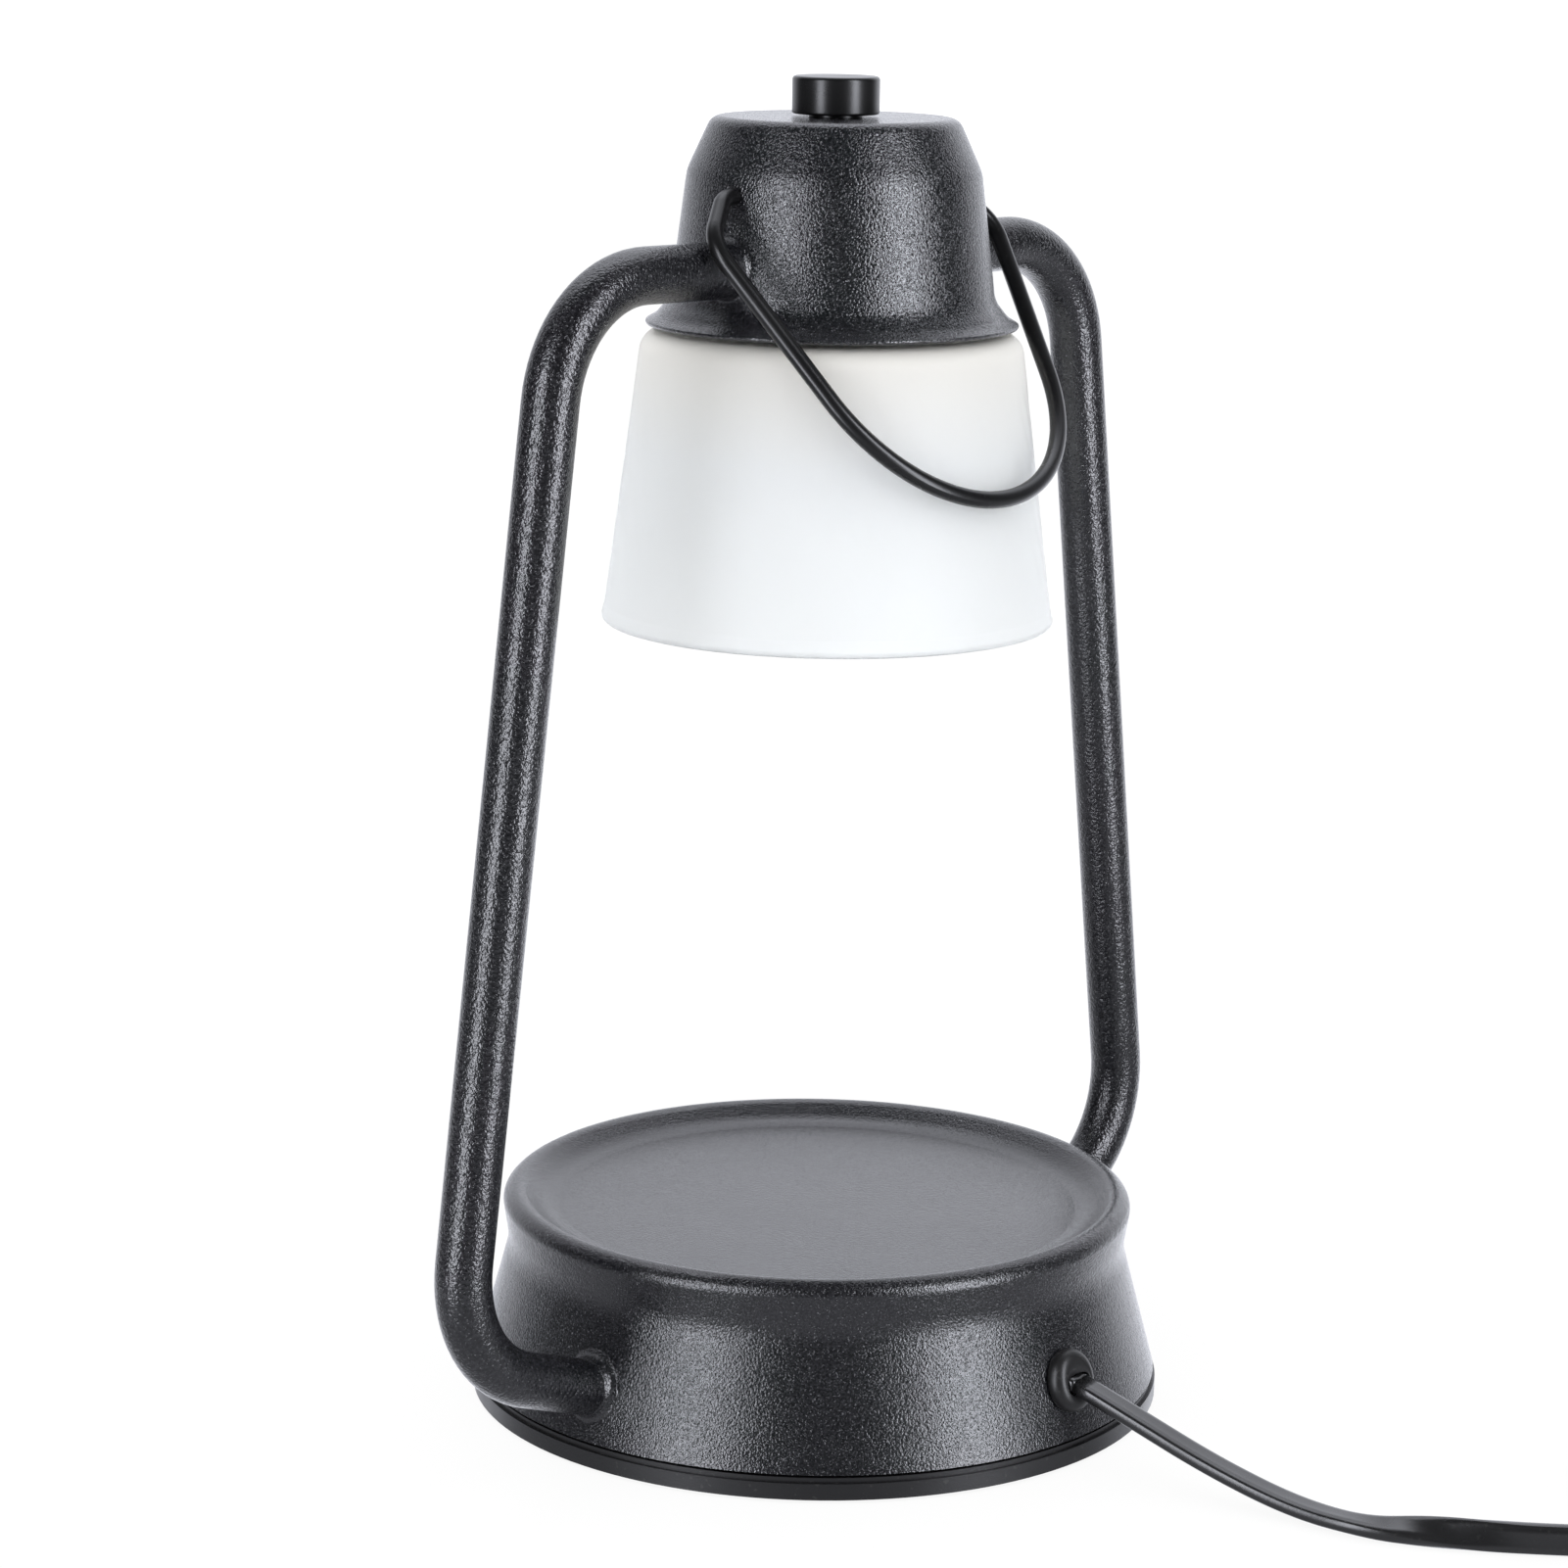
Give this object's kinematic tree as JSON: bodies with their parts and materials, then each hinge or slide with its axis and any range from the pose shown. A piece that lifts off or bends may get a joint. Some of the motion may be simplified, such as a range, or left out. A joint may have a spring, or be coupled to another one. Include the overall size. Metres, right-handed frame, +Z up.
{
  "type": "candle warmer lamp",
  "caption": "Lantern-shaped table lamp that melts a jar candle from above, with a dished round base, bent tube frame, frosted glass shade, dimmer knob and wire bail.",
  "frame": {"origin": "centre of the round base, on the surface that the lamp stands on", "axes": "+Z up through the knob, X through both frame tubes, -Y towards the cord outlet and the hanging bail"},
  "size_m": [0.2726, 0.3636, 0.3176],
  "materials": {
    "powder_black": "fine textured black powder coat",
    "dish_black": "smooth satin black paint",
    "satin_black": "smooth satin black",
    "plastic_black": "moulded satin black plastic",
    "rubber_black": "matt black rubber",
    "foam_black": "matt closed-cell foam",
    "cord_black": "satin black flexible vinyl",
    "steel": "zinc-plated steel",
    "ballast": "raw cast plate",
    "brass": "bright brass",
    "nickel": "nickel plate",
    "ceramic": "matt white ceramic",
    "frosted_glass": "frosted white glass with faint slanting streaks",
    "clear_glass": "clear pressed glass",
    "reflector": "vapour-coated reflector glass",
    "silicone": "translucent silicone",
    "wire_black": "black wire insulation",
    "wire_white": "white wire insulation",
    "wire_red": "red wire insulation",
    "splice_grey": "grey crimp cap"
  },
  "bodies": {
    "lamp_stand": {"base_housing": "powder_black", "base_posts": "steel", "base_cover": "plastic_black", "foot_pad": "foam_black", "cover_screws": "steel", "ballast_plate": "ballast", "cord_grommet": "rubber_black", "cord_tail": "cord_black", "cord_clamp_base": "plastic_black", "cord_clamp_bar": "plastic_black", "cord_clamp_screws": "steel", "wire_splices": "splice_grey", "right_tube": "powder_black", "left_tube": "powder_black", "base_weld_beads": "powder_black", "dome_weld_beads": "powder_black", "live_lead": "wire_black", "neutral_lead": "wire_white", "switch_lead": "wire_red", "dome_housing": "powder_black", "dimmer_body": "plastic_black", "dimmer_washer": "satin_black", "dimmer_nut": "satin_black", "socket_bracket": "steel", "bracket_screws": "steel", "shade_carrier": "satin_black", "lamp_socket": "ceramic", "socket_contacts": "brass", "socket_screws": "steel", "glass_shade": "frosted_glass", "shade_upper_gasket": "silicone", "shade_lower_gasket": "silicone", "shade_ring": "satin_black", "cord": "cord_black", "cord_coil": "cord_black", "cord_tie": "plastic_black", "cord_end": "cord_black", "plug_body": "plastic_black", "plug_blades": "nickel"},
    "bail": {"bail_handle": "satin_black"},
    "dimmer_knob": {"control_knob": "satin_black", "dimmer_shaft": "satin_black"},
    "bulb": {"bulb_base": "ceramic", "bulb_pins": "nickel", "bulb_reflector": "reflector", "bulb_capsule": "clear_glass", "bulb_lens": "clear_glass"}
  },
  "joints": [
    {"name": "bail_swing", "type": "hinge", "parent": "lamp_stand", "child": "bail", "pos_m": [0, 0, 0.2915], "axis": [-1, 0, 0], "range_deg": [0, 284]},
    {"name": "knob_turn", "type": "hinge", "parent": "lamp_stand", "child": "dimmer_knob", "pos_m": [0, 0, 0.3086], "axis": [0, 0, -1], "range_deg": [0, 270]},
    {"name": "bulb_twist", "type": "hinge", "parent": "lamp_stand", "child": "bulb", "pos_m": [0, 0, 0.264], "axis": [0, 0, 1], "range_deg": [-20, 0]}
  ]
}
